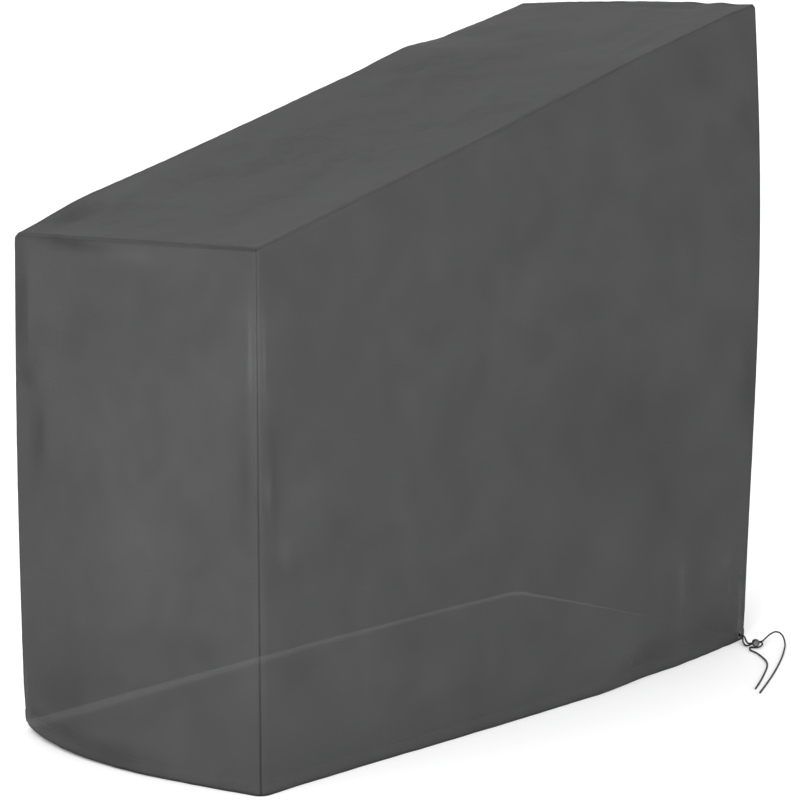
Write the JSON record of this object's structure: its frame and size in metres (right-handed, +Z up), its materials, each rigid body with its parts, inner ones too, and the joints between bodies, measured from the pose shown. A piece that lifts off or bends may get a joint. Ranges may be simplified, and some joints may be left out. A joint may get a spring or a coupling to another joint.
{
  "type": "exercise bike cover",
  "caption": "Fitted cloth cover shaped as a hollow wedge with a sloping roof, open at the hem, with a drawstring and cord lock at one hem corner.",
  "frame": {"origin": "just under the middle of the roof panel's inner face, where the covered machine carries the cloth; the hem is 0.995 m below it", "axes": "+X along the cover's length toward its tall end, +Y across toward the side panel away from the cord lock, +Z up"},
  "size_m": [1.3728, 0.8053, 1.1791],
  "materials": {
    "cover_cloth": "thin plain-woven coated polyester, dark smoky grey, soft low sheen",
    "drawstring": "braided round cord, black, matt",
    "lock_body": "moulded plastic, black, fine satin",
    "lock_button": "moulded plastic, mid grey, satin",
    "eyelet_metal": "pressed ring, dull gunmetal"
  },
  "bodies": {
    "root": {"roof_panel": "cover_cloth", "side_panel_near": "cover_cloth", "side_panel_far": "cover_cloth", "end_panel_low": "cover_cloth", "end_panel_tall": "cover_cloth", "hem_eyelet": "eyelet_metal", "drawstring_long_end": "drawstring", "drawstring_short_end": "drawstring", "cord_lock_barrel": "lock_body", "cord_lock_button": "lock_button"}
  },
  "joints": []
}
